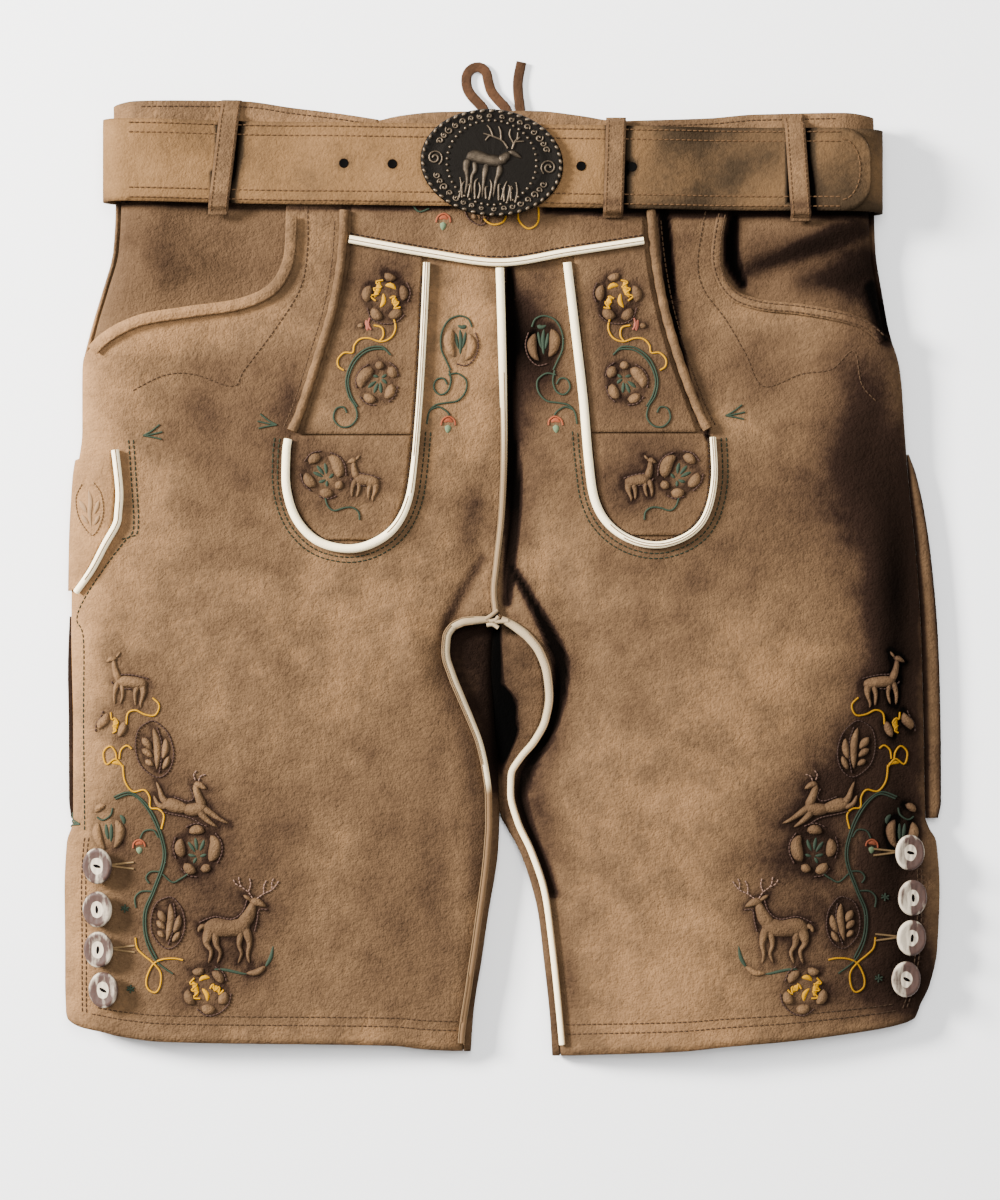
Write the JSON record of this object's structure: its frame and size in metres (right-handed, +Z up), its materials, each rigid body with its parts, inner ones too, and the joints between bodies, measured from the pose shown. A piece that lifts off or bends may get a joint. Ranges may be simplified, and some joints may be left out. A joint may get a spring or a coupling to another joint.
{
  "type": "lederhosen",
  "caption": "Short leather breeches laid flat, with drop flap, piped seams, knife pocket, antler buttons at the side vents, and a belt with an oval buckle",
  "frame": {"origin": "centre of the garment's footprint on the surface it lies on, without the lace", "axes": "+Z up out of the surface, +Y from hem to waist, +X to the viewer's right as the front is seen"},
  "size_m": [0.4846, 0.5488, 0.0297],
  "materials": {
    "hide": "brushed suede deerskin, light brown with darker worn shading",
    "hide_dark": "the same suede where it is darker, at the hips and inside the thigh",
    "belt": "nubuck strap, tan, double stitched",
    "piping": "smooth off-white piping",
    "horn": null,
    "gunmetal": "cast buckle, blackened, bright where it is worn",
    "lace": "flat brown lace"
  },
  "bodies": {
    "root": {"front_left": "hide", "front_right": "hide", "back_left": "hide", "back_right": "hide", "waistband_front_left": "hide", "waistband_front_right": "hide", "waistband_back": "hide", "flap_yoke": "hide", "flap_side_left": "hide", "flap_side_right": "hide", "flap_tab_left": "hide", "flap_tab_right": "hide", "welt_left": "hide", "welt_right": "hide", "mouth_band_left": "hide", "mouth_band_right": "hide", "knife_pocket": "hide", "side_seam_left": "hide", "side_seam_right": "hide", "belt_loop_front_left": "hide", "belt_loop_front_middle": "hide", "belt_loop_front_right": "hide", "belt_loop_back_left": "hide", "belt_loop_back_right": "hide", "thigh_left": "hide_dark", "thigh_right": "hide_dark", "hip_left": "hide_dark", "hip_right": "hide_dark", "piping_flap": "piping", "piping_centre": "piping", "piping_tab_left": "piping", "piping_tab_right": "piping", "piping_inseam_left": "piping", "piping_inseam_right": "piping", "piping_knife_pocket": "piping", "belt": "belt", "buckle": "gunmetal", "button_left_1": "horn", "button_left_2": "horn", "button_left_3": "horn", "button_left_4": "horn", "button_right_1": "horn", "button_right_2": "horn", "button_right_3": "horn", "button_right_4": "horn", "lace_loop": "lace", "lace_end": "lace"}
  },
  "joints": []
}
